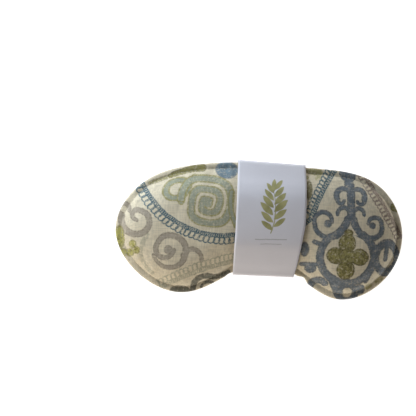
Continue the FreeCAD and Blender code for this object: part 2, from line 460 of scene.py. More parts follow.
def math_node(operation, *inputs):
    tree = next(i.tree for i in inputs if isinstance(i, Number))
    return Number(tree, add_node(tree, "Math", enumerate(inputs), operation=operation).outputs[0])


def least(*values):
    """The smallest of several numbers. Of drawn shapes, it is all of them as one."""
    return functools.reduce(lambda a, b: math_node("MINIMUM", a, b), values)


def most(a, b):
    return math_node("MAXIMUM", a, b)


def drawn(make, *rows):
    """Several shapes of one kind as one."""
    return least(*(make(*row) for row in rows))


def arc_through(a, b, c):
    """(centre, radius, start, end) in degrees of the arc from a by way of b to c."""
    (ax, ay), (bx, by), (cx, cy) = a, b, c
    d = 2 * (ax * (by - cy) + bx * (cy - ay) + cx * (ay - by))
    sa, sb, sc = ax * ax + ay * ay, bx * bx + by * by, cx * cx + cy * cy
    x = (sa * (by - cy) + sb * (cy - ay) + sc * (ay - by)) / d
    y = (sa * (cx - bx) + sb * (ax - cx) + sc * (bx - ax)) / d
    start, middle, end = (math.degrees(math.atan2(q - y, p - x)) for p, q in (a, b, c))
    turn = (end - start) % 360
    if (middle - start) % 360 > turn:
        turn -= 360
    return (x, y), math.hypot(ax - x, ay - y), start, start + turn


CHAIN_LINE = 1.05  # the width of a chain's drawn line


class Drawing:
    """Nodes that work out numbers and colours at a point in millimetres, and shapes drawn in plan."""

    def __init__(self, tree, point):
        self.tree = tree
        self.point = point
        self.axes()

    def axes(self):
        node = add_node(self.tree, "SeparateXYZ", {0: self.point})
        self.x, self.y, self.z = (Number(self.tree, s) for s in node.outputs)

    def vector(self, operation, a, b=None, scale=None):
        node = add_node(self.tree, "VectorMath", {0: a, 1: b, "Scale": scale}, operation=operation)
        return node.outputs["Value" if operation in ("DOT_PRODUCT", "LENGTH") else "Vector"]

    def noise(self, size, detail=2.0, stretch=(1, 1, 1), colour=False):
        """Noise from 0 to 1 with features of about size millimetres."""
        scaled = self.vector("MULTIPLY", self.point, tuple(s / size for s in stretch))
        node = add_node(self.tree, "TexNoise", {"Vector": scaled, "Scale": 1.0, "Detail": detail})
        return node.outputs["Color"] if colour else Number(self.tree, node.outputs["Fac"])

    def shake(self, size, reach):
        """Moves the points about by up to reach, so that what is drawn after is a little uneven."""
        centred = self.vector("SUBTRACT", self.noise(size, 1.0, colour=True), (0.5, 0.5, 0.5))
        self.point = self.vector("ADD", self.point, self.vector("SCALE", centred, scale=2 * reach))
        self.axes()

    def mix(self, mask, under, over):
        """One colour over another, as far as a mask goes."""
        return add_node(self.tree, "Mix", {0: mask, 6: under, 7: over}, data_type="RGBA").outputs[2]

    def shade(self, colour, factor):
        """A colour made darker or lighter by a number."""
        return self.vector("SCALE", colour, scale=factor)

    def range(self, value, low, high, to_low=0.0, to_high=1.0, smooth=False):
        """A number that goes from to_low to to_high while value goes from low to high."""
        kind = "SMOOTHSTEP" if smooth else "LINEAR"
        inputs = enumerate((value, low, high, to_low, to_high))
        return Number(self.tree, add_node(self.tree, "MapRange", inputs, interpolation_type=kind).outputs[0])

    def weave(self, pitch):
        """(height, slub) of a plain weave whose threads are pitch apart, with thick and thin ones."""
        wander_x = self.noise(9.0, 1.0) * 1.1
        wander_y = self.noise(7.0, 1.0) * 1.1
        across = math_node("SINE", (self.x + wander_x) * (2 * math.pi / pitch))
        up = math_node("SINE", (self.y + wander_y) * (2 * math.pi / pitch))
        slub = self.noise(1.3, 1.5, (0.07, 1.0, 1.0)) * 0.5 + self.noise(1.3, 1.5, (1.0, 0.07, 1.0)) * 0.5
        height = (across * up) * 0.25 + (abs(across) + abs(up)) * 0.2 + slub * 0.55
        return height, slub

    # distances in plan from what is drawn: less than 0 inside it

    def length(self, a, b):
        both = add_node(self.tree, "CombineXYZ", {0: a, 1: b})
        return Number(self.tree, self.vector("LENGTH", both.outputs[0]))

    def local(self, centre, angle):
        """Coordinates from centre, with the first one along angle in degrees."""
        c, s = math.cos(math.radians(angle)), math.sin(math.radians(angle))
        along = Number(self.tree, self.vector("DOT_PRODUCT", self.point, (c, s, 0)))
        across = Number(self.tree, self.vector("DOT_PRODUCT", self.point, (-s, c, 0)))
        return along - (centre[0] * c + centre[1] * s), across - (centre[1] * c - centre[0] * s)

    def disc(self, centre, radius_x, radius_y=None, angle=0.0):
        u, v = self.local(centre, angle)
        radius_y = radius_y or radius_x
        return (self.length(u, v * (radius_x / radius_y)) - radius_x) * (min(radius_x, radius_y) / radius_x)

    def line(self, a, b, width):
        """A straight stroke with round ends."""
        middle = ((a[0] + b[0]) / 2, (a[1] + b[1]) / 2)
        half = math.dist(a, b) / 2
        u, v = self.local(middle, math.degrees(math.atan2(b[1] - a[1], b[0] - a[0])))
        return self.length(most(abs(u) - half, 0.0), v) - width / 2

    def arc_frame(self, centre, radius, start, end):
        """(along, off, half length) of an arc from start to end in degrees."""
        u, v = self.local(centre, (start + end) / 2)
        along = math_node("ARCTAN2", v, u) * radius
        return along, self.length(u, v) - radius, math.radians(abs(end - start)) / 2 * radius

    def arc(self, centre, radius, start, end, width, end_width=None):
        """A stroke along an arc, which may grow thicker or thinner towards its end."""
        along, off, half = self.arc_frame(centre, radius, start, end)
        body = self.length(most(abs(along) - half, 0.0), off)
        if end_width is None:
            return body - width / 2
        grow = (end_width - width) / 2 / (2 * half) * (1 if end > start else -1)
        return body - (along * grow + (width + end_width) / 4)

    def stroke(self, a, b, c, width, end_width=None):
        """A curved stroke from a by way of b to c."""
        return self.arc(*arc_through(a, b, c), width, end_width)

    def spiral(self, centre, start, pitch, turns, width, hand=1, square=None, first=0.25):
        """A stroke that winds out from centre. Start is the direction that its outer end points in."""
        u, v = self.local(centre, start)  # a square coil lies straight if start is along an axis
        if square:
            power = math_node("POWER", abs(u), square) + math_node("POWER", abs(v), square)
            radius = math_node("POWER", power, 1 / square)
        else:
            radius = self.length(u, v)
        turn = math_node("ARCTAN2", v, u) * (hand / (2 * math.pi))
        last = turns - first
        phase = radius / pitch - turn - last
        ring = math_node("ROUND", phase)
        count = ring + turn
        body = abs(phase - ring) * pitch - width / 2
        body = most(body, count * (2 * math.pi * pitch * turns))
        return least(body, self.disc(centre, width * 0.62))

    def ring_row(self, along, off, size, pitch):
        """Overlapping rings in a row, pitch apart, drawn in two turns."""
        rings = []
        for shift in (0.0, 0.5):
            phase = along * (0.5 / pitch) + shift
            cell = (phase - math_node("ROUND", phase)) * (2 * pitch)
            rings.append(abs(self.length(cell * 1.08, off + cell * 0.2) - size))
        return least(*rings) - CHAIN_LINE / 2

    def chain(self, arc, side, size=2.8, strip=3.0):
        """A row of rings with a narrower row of links on one side: 1 is away from the arc's centre."""
        along, off, half = self.arc_frame(*arc)
        rings = self.ring_row(along, off + side * strip / 2, size, size * 1.5)
        links = self.ring_row(along, off - side * size, strip / 2 - 0.1, strip * 0.62)
        return most(least(rings, links), abs(along) - half)


class Surface(Drawing):
    """A material being written. Settings go on the shader's own sockets."""

    def __init__(self, name, **settings):
        self.material = bpy.data.materials.new(name)
        self.material.use_nodes = True
        self.tree = self.material.node_tree
        self.shader = self.tree.nodes["Principled BSDF"]
        for socket, value in settings.items():
            self.shader.inputs[socket.replace("_", " ")].default_value = value
        place = self.tree.nodes.new("ShaderNodeTexCoord").outputs["Object"]
        super().__init__(self.tree, self.vector("SCALE", place, scale=1 / MM))

    def bump(self, height, distance):
        """Raises the surface by height, from 0 to 1, times distance in millimetres."""
        node = add_node(self.tree, "Bump", {"Distance": distance * MM, "Height": height})
        self.tree.links.new(node.outputs[0], self.shader.inputs["Normal"])

    def finish(self, colour):
        self.tree.links.new(colour, self.shader.inputs["Base Color"])
        return self.material


# ---- the printed linen

CREAM = srgb(221, 208, 180)
SLATE, SLATE_DEEP = srgb(124, 131, 136), srgb(86, 95, 104)
TAUPE, TAUPE_DEEP = srgb(174, 162, 144), srgb(142, 131, 116)
OLIVE, OLIVE_DEEP = srgb(157, 148, 92), srgb(108, 100, 60)
LIME = srgb(184, 178, 100)
SAGE = srgb(160, 163, 145)
TEAL = srgb(58, 94, 108)
MAUVE = srgb(132, 112, 104)
PALE = srgb(166, 162, 138)
DUSK, DUSK_DEEP = srgb(124, 121, 106), srgb(96, 94, 82)
BLUE = srgb(120, 138, 146)


class Print:
    """Scrolls, chains and flowers printed one colour over another on a linen ground."""

    def __init__(self, drawing, colour, dryness):
        self.drawing = drawing
        self.dryness = dryness
        self.colour = colour

    def ink(self, distance, colour, cover=0.9, soft=0.45):
        mask = self.drawing.range(distance, soft, -soft, smooth=True)
        mask = most(mask * cover - mask * self.dryness, 0.0)
        self.colour = self.drawing.mix(mask, self.colour, colour)

    def edged(self, distance, fill, edge, line=1.1, cover=0.9):
        """A filled shape with a darker edge line."""
        self.ink(distance, edge, cover)
        self.ink(distance + line, fill, cover)

    def fleck(self, distance, colour, size, share, cover=0.7):
        """Small uneven spots of a colour inside a shape."""
        s = self.drawing
        spots = s.range(s.noise(size, 2.0), 1 - share - 0.06, 1 - share + 0.06)
        mask = s.range(distance, 0.2, -0.6) * spots
        self.colour = s.mix(mask * cover, self.colour, colour)


def left_motifs(p):
    s = p.drawing
    p.edged(s.line((-93, 34.5), (-76, 41.5), 4.0), OLIVE, OLIVE_DEEP, 0.8, 0.6)
    p.edged(s.stroke((-76, 41.5), (-64, 46.4), (-50, 49.5), 4.2, 7.0), OLIVE, OLIVE_DEEP, 0.8, 0.85)
    p.edged(s.disc((-29.1, 48.5), 9.8, 7.4), BLUE, SLATE, 0.9)

    p.edged(abs(s.disc((-70.0, 30.4), 9.6, 7.2, 28)) - 2.6, SAGE, OLIVE, 1.1)
    p.edged(s.stroke((-66, 20), (-62, 33), (-56, 42.0), 5.4, 4.0), SAGE, OLIVE, 1.1)
    coil = s.spiral((-43.6, 19.6), 180, 8.9, 2.8, 6.8, 1, 3.0)
    p.edged(coil, SAGE, OLIVE, 1.15)
    p.fleck(coil, CREAM, 1.7, 0.42, 0.35)
    p.edged(s.stroke((-24.5, 30.0), (-24.0, 14.0), (-19.0, 1.5), 4.6), SAGE, OLIVE, 1.0)

    chain = drawn(
        s.chain,
        (arc_through((-104, 37), (-88.5, 14.8), (-62.0, -3.2)), -1),
        (arc_through((-62.0, -3.2), (-42, -8.6), (-16, -7.0)), -1),
    )
    p.ink(chain, TEAL, 0.95, 0.4)

    curl = drawn(
        s.stroke,
        ((-109, 10.5), (-112.5, 16.0), (-115.5, 6.0), 3.6, 6.2),
        ((-115.5, 6.0), (-111.5, -5.0), (-101, -8.6), 6.2, 5.6),
        ((-101, -8.6), (-91.5, 1.5), (-99.5, 11.5), 5.6, 5.0),
        ((-99.5, 11.5), (-106.0, 8.0), (-102.0, 3.4), 5.0, 3.4),
    )
    p.edged(curl, TAUPE, TAUPE_DEEP, 0.9)
    p.ink(s.stroke((-92.5, -9.0), (-97.5, -22.0), (-87.5, -40.0), 3.6), PALE, 0.55)
    ring = drawn(
        s.stroke,
        ((-86.5, -25.0), (-74.0, -35.0), (-60.5, -21.0), 3.0, 5.4),
        ((-60.5, -21.0), (-70.5, -8.2), (-84.5, -16.0), 5.4, 4.6),
        ((-84.5, -16.0), (-80.0, -26.5), (-70.5, -20.5), 4.6, 4.2),
        ((-62.0, -24.0), (-53.0, -19.2), (-47.0, -28.0), 4.4, 3.8),
    )
    ring = least(ring, s.disc((-75.0, -20.0), 3.6))
    p.edged(ring, TAUPE, TAUPE_DEEP, 0.9)
    p.fleck(least(ring, curl), CREAM, 1.7, 0.36, 0.3)
    bud = s.disc((-116.5, -12.0), 4.6, 10.5, 4)
    p.edged(bud, LIME, OLIVE, 0.9, 0.85)
    petals = drawn(
        s.disc, ((-105.0, -17.0), 3.6), ((-101.5, -22.0), 3.4), ((-107.0, -24.0), 3.8), ((-112.5, -24.5), 3.4)
    )
    p.edged(petals, LIME, OLIVE, 1.0, 0.8)
    p.fleck(least(petals, bud), OLIVE_DEEP, 2.2, 0.42)

    p.ink(s.chain(arc_through((-82, -51), (-51.5, -35.0), (-19, -24.5)), -1, 2.6, 3.0), PALE, 0.85)
    hook = drawn(
        s.stroke,
        ((-53.0, -53), (-49.5, -43.5), (-40, -41.2), 5.0, 5.4),
        ((-40, -41.2), (-31, -40.8), (-24, -37), 5.4, 3.6),
        ((-46, -50.5), (-40.5, -46.2), (-34.5, -48.5), 2.6),
    )
    p.edged(hook, DUSK, DUSK_DEEP, 0.9)
    p.edged(s.disc((-64.0, -55.0), 9.0, 5.0, 2), DUSK, DUSK_DEEP, 0.8)


def middle_motifs(p):
    """What the paper strip hides, so that the pillow is whole without it."""
    s = p.drawing
    p.ink(s.chain(arc_through((-16, -7.0), (14, -3.2), (40.5, 13.0)), 1), TEAL, 0.95, 0.4)
    p.ink(s.chain(arc_through((-19, -24.5), (-5, -25.2), (10, -36.5)), -1, 2.6, 3.0), PALE, 0.85)
    coil = least(
        s.spiral((8.6, 27.0), 180, 6.4, 2.5, 4.4, -1, 2.8),
        s.stroke((23.0, 28.0), (27.5, 40.0), (38.0, 45.0), 4.6, 3.4),
        s.stroke((-5.6, 27.0), (-12.0, 16.0), (-19.0, 3.0), 4.4, 4.0),
    )
    p.edged(coil, SAGE, OLIVE, 1.1)
    p.fleck(coil, CREAM, 1.7, 0.42, 0.35)
    curl = drawn(
        s.stroke,
        ((-12.0, -17.0), (0.0, -11.6), (10.6, -19.0), 3.2, 4.8),
        ((10.6, -19.0), (7.0, -25.4), (2.2, -20.4), 4.8, 3.6),
        ((12.0, -15.6), (22.0, -9.4), (30.0, -18.0), 4.2, 3.2),
    )
    p.edged(curl, TAUPE, TAUPE_DEEP, 0.9)
    p.fleck(curl, CREAM, 1.7, 0.36, 0.3)
    p.edged(s.disc((27.0, -26.0), 3.6), OLIVE, OLIVE_DEEP, 0.9)


def right_motifs(p):
    s = p.drawing
    p.ink(s.disc((44.4, 50.2), 7.5, 3.0, -6), OLIVE, 0.8)
    p.ink(s.disc((48.0, 45.6), 3.4, 2.0, 30), OLIVE, 0.6)
    p.ink(s.disc((39.8, 34.4), 2.8, 8.0), OLIVE_DEEP, 0.85)
    p.ink(s.chain(arc_through((60.5, 55), (50.2, 36.6), (40.5, 13.0)), -1, 2.2, 3.4), TEAL, 0.95, 0.4)
    p.ink(s.chain(arc_through((83.5, 51), (100.8, 23.8), (119, -3.5)), -1, 2.4, 2.4), MAUVE, 0.85, 0.4)
    p.edged(s.spiral((113.2, 24.4), 90, 4.4, 1.5, 3.0, 1), OLIVE, OLIVE_DEEP, 0.8)
    p.ink(drawn(s.disc, ((93.8, -44.0), 3.8, 2.2, 30), ((102.6, -38.0), 4.2, 2.4, 34)), OLIVE, 0.75)
    frame_scroll(p)

    flower = drawn(
        s.disc,
        ((64.6, -18.8), 8.2, 7.0), ((83.6, -19.4), 8.0, 7.2), ((73.0, -8.0), 7.2, 7.6),
        ((72.8, -30.6), 7.6, 8.0), ((73.8, 0.0), 3.8, 3.4), ((73.6, -19.2), 7.0),
    )
    p.edged(flower, OLIVE, OLIVE_DEEP, 1.2, 0.95)
    veins = drawn(
        lambda centre, radius: abs(s.disc(centre, radius)) - 0.45,
        ((73.2, -8.0), 4.4), ((64.4, -18.8), 4.6), ((83.8, -19.4), 4.6), ((72.8, -31.0), 4.6),
    )
    p.ink(least(abs(s.disc((73.6, -19.2), 6.0)) - 0.5, veins), OLIVE_DEEP, 0.6, 0.4)
    p.fleck(flower, OLIVE_DEEP, 2.6, 0.46, 0.75)
    p.fleck(flower + 0.8, CREAM, 2.0, 0.38, 0.55)


def frame_scroll(p):
    """The slate scroll that frames the flower, with its stem above and its loops round about."""
    s = p.drawing
    # The frame's ring runs only below its shoulders: above them it turns up to the stem.
    ring = most(abs(s.disc((73.6, -19.6), 22.4, 22.0)) - 3.4, s.y + 1.5)
    strokes = drawn(
        s.stroke,
        ((57.5, -4.0), (67.0, 1.5), (73.0, 12.0), 6.4),
        ((90.0, -4.0), (82.5, 1.5), (77.2, 12.0), 6.0),
        ((73.0, 35.4), (64.2, 35.0), (63.4, 27.6), 4.2, 5.4),
        ((63.4, 27.6), (66.2, 24.2), (69.2, 27.0), 4.6, 3.0),
        ((76.4, 35.4), (84.6, 35.2), (85.8, 28.6), 4.2, 5.0),
        ((85.8, 28.6), (83.6, 24.6), (80.2, 27.0), 4.4, 2.8),
        ((73.0, 19.0), (66.8, 20.6), (64.2, 15.4), 4.4, 3.4),
        ((77.4, 19.4), (83.2, 20.6), (86.0, 15.8), 4.4, 3.2),
        ((68.0, 1.6), (53.5, -3.5), (45.4, 6.6), 5.0, 4.2),
        ((45.4, 6.6), (52.6, 16.8), (59.6, 9.2), 4.2, 3.6),
        ((86.0, 0.0), (98.0, -1.5), (101.0, 8.4), 5.4, 4.2),
        ((101.0, 8.4), (95.0, 14.2), (89.8, 9.0), 4.2, 3.4),
        ((95.0, -10.0), (101.5, -10.0), (106.0, -6.6), 5.0, 4.0),
        ((44.8, -48.0), (49.6, -40.6), (57.4, -43.0), 6.4, 5.0),
    )
    lines = drawn(
        s.line,
        ((74.4, 40.0), (75.4, 14.0), 6.8), ((106.6, -9.5), (106.2, -20.0), 4.2),
        ((93.0, -32.5), (90.6, -38.5), 5.0), ((50.0, -9.6), (45.6, -8.2), 4.0),
        ((36.5, -27.6), (50.0, -27.0), 3.6), ((63.0, -39.0), (69.5, -52.0), 7.6),
    )
    discs = drawn(
        s.disc,
        ((72.9, 47.6), 6.4, 5.2), ((73.2, 42.0), 4.0, 5.0), ((67.2, 50.2), 2.4), ((78.4, 50.2), 2.2),
        ((56.4, 7.4), 3.4), ((93.4, 7.4), 2.8), ((44.0, -30.4), 4.8, 4.2), ((38.2, -14.8), 3.6, 6.4),
        ((86.4, -46.6), 4.6),
    )
    loops = least(abs(s.disc((107.2, -19.0), 9.6, 12.2, 4)) - 3.0, abs(s.disc((75.8, -49.8), 7.2, 6.6)) - 2.7)
    body = least(ring, strokes, lines, discs, loops)
    p.edged(body, SLATE, SLATE_DEEP, 1.0)
    p.fleck(body + 0.6, CREAM, 1.6, 0.40, 0.3)
    p.fleck(body, SLATE_DEEP, 6.0, 0.5, 0.5)


def motif_group(name, draw):
    """A node group that prints some motifs over a colour."""
    tree = bpy.data.node_groups.new(name, "ShaderNodeTree")
    for socket, kind in (("Point", "Vector"), ("Colour", "Color"), ("Dryness", "Float")):
        tree.interface.new_socket(socket, in_out="INPUT", socket_type="NodeSocket" + kind)
    tree.interface.new_socket("Colour", in_out="OUTPUT", socket_type="NodeSocketColor")
    start, end = tree.nodes.new("NodeGroupInput"), tree.nodes.new("NodeGroupOutput")
    dryness = Number(tree, start.outputs["Dryness"])
    p = Print(Drawing(tree, start.outputs["Point"]), start.outputs["Colour"], dryness)
    draw(p)
    tree.links.new(p.colour, end.inputs["Colour"])
    return tree


def printed_linen(name, groups, place, turned):
    """The cover's cloth. Place moves its print, and turned mirrors it."""
    s = Surface(name, Roughness=0.88, Sheen_Weight=0.22, Sheen_Roughness=0.45, Specular_IOR_Level=0.2)
    height, slub = s.weave(0.85)
    grain = s.noise(1.1, 1.0, (0.1, 1.0, 1.0)) + s.noise(1.1, 1.0, (1.0, 0.1, 1.0))
    # The cloth's own tone from grain, slubs and broad cloud, with painted shade where the weave lies low
    # between the threads.
    tone_and_weave_shade = (height * 0.16 + 0.36) + grain * 0.42 + s.noise(26.0, 2.0) * 0.14 + slub * 0.2
    dryness = s.range(slub * 0.7 + s.noise(1.5, 2.0) * 0.9, 0.78, 1.15, 0.0, 0.85)
    if turned:
        s.point = s.vector("MULTIPLY", s.point, (-1, 1, 1))
    s.point = s.vector("ADD", s.point, place)
    s.shake(14.0, 0.9)
    s.shake(1.6, 0.5)
    colour = CREAM
    for group in groups:
        inputs = {"Point": s.point, "Dryness": dryness, "Colour": colour}
        colour = add_node(s.tree, "Group", inputs, node_tree=group).outputs["Colour"]
    s.bump(height, 0.1)
    return s.finish(s.shade(colour, tone_and_weave_shade))


# ---- other materials


def plain_cloth(name, colour, pitch):
    s = Surface(name, Roughness=0.9, Sheen_Weight=0.2, Sheen_Roughness=0.5, Specular_IOR_Level=0.2)
    height, slub = s.weave(pitch)
    cloud = s.noise(12.0, 2.0)
    s.bump(height, 0.06)
    return s.finish(s.mix(cloud * 0.5 + slub * 0.3, colour, srgb(206, 197, 176)))


def thread(name, colour, groove_shade, twist):
    """Twisted thread: slanting plies that catch the light, with painted shade darkening the grooves between
    them.
    """
    s = Surface(name, Roughness=0.7, Sheen_Weight=0.3, Sheen_Roughness=0.4)
    plies = math_node("SINE", (s.x + s.y * 0.8 + s.z * 1.3) * (2 * math.pi / twist)) * 0.5 + 0.5
    s.bump(plies, 0.05)
    # Painted shade: the colour goes to the darker thread colour in the grooves between the plies, with some
    # random tone.
    return s.finish(s.mix(plies * 0.6 + s.noise(3.0) * 0.3, groove_shade, colour))


def seeds(name):
    """Flax seed: small glossy drops packed together, with painted shade in the gaps between them."""
    s = Surface(name, Roughness=0.35, Specular_IOR_Level=0.5)
    place = s.vector("MULTIPLY", s.point, (0.42, 0.22, 0.42))
    gap = Number(s.tree, add_node(s.tree, "TexVoronoi", {"Vector": place, "Scale": 1.0}).outputs["Distance"])
    s.bump(1.0 - gap, 0.6)
    warm = s.mix(s.noise(2.5, 2.0), srgb(104, 62, 32), srgb(158, 104, 58))
    # Painted shade: dark brown towards the gaps between the seeds.
    return s.finish(s.mix(s.range(gap, 0.35, 0.75), warm, srgb(60, 34, 18)))


def paper(name):
    """White card with a printed olive sprig and two thin rules on its face."""
    s = Surface(name, Roughness=0.62, Specular_IOR_Level=0.35)
    fibre = s.noise(1.6, 3.0, (0.5, 1.0, 1.0))
    mottle = s.noise(22.0, 2.0)
    body = s.mix(mottle * 0.5 + fibre * 0.25, srgb(226, 221, 224), srgb(238, 234, 237))
    front = s.range(s.z, 8.6, 9.4)
    wash = s.noise(7.0, 3.0)
    s.shake(5.0, 0.5)
    leaves = [(10.6, 37.0, 11.0, 88)]
    for step in range(6):
        up = -12.5 + 6.1 * step
        reach = 15.0 - 1.5 * abs(step - 2.0)
        for side in (-1, 1):
            slant = 90 - side * (52 - 3.0 * step)
            spread = reach * 0.53
            x = 11.0 + math.cos(math.radians(slant)) * spread
            y = 13.6 + up + 1.4 * side + math.sin(math.radians(slant)) * spread
            leaves.append((x, y, reach, slant))
    stem = s.stroke((9.2, -2.5), (12.4, 14.0), (10.6, 31.0), 0.9, 0.6)
    sprig = least(stem, *(leaf(s, (x, y), size, angle) for x, y, size, angle in leaves))
    mask = s.range(sprig, 0.3, -0.3, smooth=True) * front
    olive = s.mix(s.range(wash, 0.3, 0.7), srgb(184, 176, 116), srgb(146, 140, 80))
    colour = s.mix(mask * 0.95, body, olive)
    rules = drawn(s.line, ((-3.5, -8.3), (22.5, -7.4), 0.55), ((1.5, -12.0), (18.5, -11.4), 0.4))
    colour = s.mix(s.range(rules, 0.2, -0.2) * front * 0.6, colour, srgb(120, 112, 96))
    s.bump(fibre, 0.02)
    return s.finish(colour)


def leaf(s, centre, size, angle):
    """A pointed leaf: the overlap of two discs."""
    u, v = s.local(centre, angle)
    return s.length(u, abs(v) + size * 0.62) - size * 0.80


def glue(name):
    s = Surface(name, Roughness=0.3, Coat_Weight=0.4)
    blotch = s.noise(3.0, 3.0)
    s.bump(blotch, 0.05)
    return s.finish(s.mix(blotch, srgb(236, 230, 206), srgb(214, 204, 172)))


MOTIFS = [
    motif_group("print_" + side, motifs)
    for side, motifs in (("left", left_motifs), ("middle", middle_motifs), ("right", right_motifs))
]
LINEN = printed_linen("printed_linen", MOTIFS, (0, 0, 0), False)
LINEN_BACK = printed_linen("printed_linen_back", MOTIFS, (14, -6, 0), True)
MUSLIN = plain_cloth("muslin", srgb(232, 226, 209), 0.7)
COVER_THREAD = thread("cover_thread", srgb(214, 208, 188), srgb(170, 162, 140), 0.5)
INSERT_THREAD = thread("insert_thread", srgb(240, 236, 224), srgb(200, 194, 178), 0.4)
FLAX = seeds("flax_seed")
PAPER_WHITE = paper("white_paper")
GLUE = glue("paper_glue")


# ---- pieces

INSERT_INSET = 8.3  # from the cover's edge to the insert's
INSERT_SEAM_INSET = 11.0
SEED_INSET = 14.2
MUSLIN_CLOTH = 0.3
STITCH_PITCH = 3.75
INSERT_STITCH_PITCH = 3.1
HEM_IN = 6.0  # from a hem's fold to its stitches
HEM_STITCHES = [-14.0 + 3.6 * k for k in range(14)]  # their places in Y
CLOSING_Y = 45.1
BAND_COLUMNS = 30


def finish_piece(obj, body, node):
    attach(obj, body)
    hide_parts(node)


def add_padded(name, shell, material, node):
    """A piece of the stuffed pillow."""
    obj = mesh_object(name, *shell, material)
    finish_piece(obj, "pillow", node)


def add_cover():
    """The front panel, and the two back panels lapped at the hem. Returns trees to lay stitches on."""
    inner = inner_face(FRONT, FINE_FACES, CLOTH, 1)
    shell = closed_shell(FRONT, inner, FINE_FACES)
    add_padded("pillow_front", shell, LINEN, "cover_front")

    down = [tuple(reversed(f)) for f in FINE_FACES]
    left, left_faces = split_at(BACK, down, HEM_X, -1)
    left[:, 2] -= hem_ridge(left[:, 0], HEM_X) * 0.2
    shell = closed_shell(left, inner_face(left, left_faces, CLOTH, -1), left_faces)
    add_padded("pillow_back_left", shell, LINEN_BACK, "cover_back_left")

    right, right_faces = split_at(BACK, down, LAP_X, 1)
    depth = edge_distance(right)[0]
    lap = (1 - smoothstep(HEM_X + 0.4, HEM_X + 3.0, right[:, 0])) * smoothstep(1.5, 7.0, depth)
    right[:, 2] += lap * (CLOTH + 0.22)
    right[:, 2] -= 0.15 * hem_ridge(-right[:, 0], -LAP_X)
    right_inner = inner_face(right, right_faces, CLOTH, -1)
    shell = closed_shell(right, right_inner, right_faces)
    add_padded("pillow_back_right", shell, LINEN_BACK, "cover_back_right")
    sides = (FRONT, FINE_FACES), (left, left_faces), (right_inner, right_faces), (BACK, down)
    return [tree_of(*side) for side in sides]


def hem_ridge(x, hem):
    """1 over the turned hem and 0 past its stitch line."""
    return smoothstep(hem - 7.0, hem - 5.6, x)


def add_insert():
    """The muslin insert, from the cover's own faces moved in, and the heights that its seed fills between."""
    rim = SEAM_Z + 0.22
    swell_in = smoothstep(11.6, 15.5, FINE_DEPTH)
    top = rim + np.maximum(FRONT[:, 2] - 1.25 - rim, 0) * swell_in
    low_rim = SEAM_Z - 0.22
    low = low_rim - np.maximum(low_rim - (BACK[:, 2] + 2.0), 0) * swell_in
    trees = []
    for node, height, side in (("insert_front", top, 1), ("insert_back", low, -1)):
        heights = np.column_stack([FRONT[:, :2], height])
        points, faces, _ = part_of(heights, FINE_FACES, FINE_DEPTH > INSERT_INSET)
        if side < 0:
            faces = [tuple(reversed(f)) for f in faces]
        inner = points - normals_of(points, faces) * MUSLIN_CLOTH
        keep_off = np.maximum if side > 0 else np.minimum
        inner[:, 2] = keep_off(inner[:, 2], SEAM_Z + 0.01 * side)
        add_padded(node + "_panel", closed_shell(points, inner, faces), MUSLIN, node)
        trees.append(tree_of(points, faces))
    return top, low, trees


def add_seed(top, low):
    heights = np.column_stack([FRONT[:, :2], top - 0.5])
    upper, faces, used = part_of(heights, FINE_FACES, FINE_DEPTH > SEED_INSET)
    lower = np.column_stack([FRONT[used, :2], low[used] + 0.5])
    middle = (upper[:, 2] + lower[:, 2]) / 2
    upper[:, 2] = np.maximum(upper[:, 2], middle + 0.2)
    lower[:, 2] = np.minimum(lower[:, 2], middle - 0.2)
    add_padded("flax_filling", closed_shell(upper, lower, faces), FLAX, "seed_fill")


def capsule(length, thick, sides=8):
    """(points, faces) of one stitch along X, dipping at both ends."""
    half = (0.2, 0.5, 0.0), (0.44, 0.3, -0.15), (0.5, 0.05, -0.35)
    stations = [(-along, radius, dip) for along, radius, dip in reversed(half)] + list(half)
    points, faces = [], []
    for along, radius, dip in stations:
        for k in range(sides):
            a = 2 * math.pi * k / sides
            y, z = radius * thick * math.cos(a), radius * thick * math.sin(a) + dip * thick
            points.append((along * length, y, z))
    for ring in range(len(stations) - 1):
        for k in range(sides):
            a, b = ring * sides + k, ring * sides + (k + 1) % sides
            faces.append((a, a + sides, b + sides, b))
    faces.append(tuple(range(sides)))
    faces.append(tuple(reversed(range((len(stations) - 1) * sides, len(stations) * sides))))
    return np.array(points), faces


def add_stitches(name, material, slot, node, size, rows):
    """A group of stitches. Each row has places, directions, the tree they lie on and which way is out."""
    pattern, pattern_faces = capsule(*size)
    rng = np.random.default_rng(11)
    points, faces = [], []
    for places, ways, tree, out in rows:
        for place, way in zip(places, ways):
            hit, normal, *_ = tree.ray_cast(Vector((*place, 40.0 * out)), Vector((0, 0, -out)))
            if hit is None:
                continue
            if normal.z * out < 0:
                normal = -normal
            ahead = Vector((*way, 0)) + Vector((0, 0, rng.uniform(-0.03, 0.03)))
            ahead = (ahead - normal * ahead.dot(normal)).normalized()
            axes = np.array([ahead, normal.cross(ahead), normal])
            base = len(points)
            points.extend(pattern @ axes + np.array(hit + normal * size[1] * 0.32))
            faces.extend(tuple(i + base for i in f) for f in pattern_faces)
    obj = mesh_object(name, points, faces, material)
    finish_piece(obj, "pillow", node)


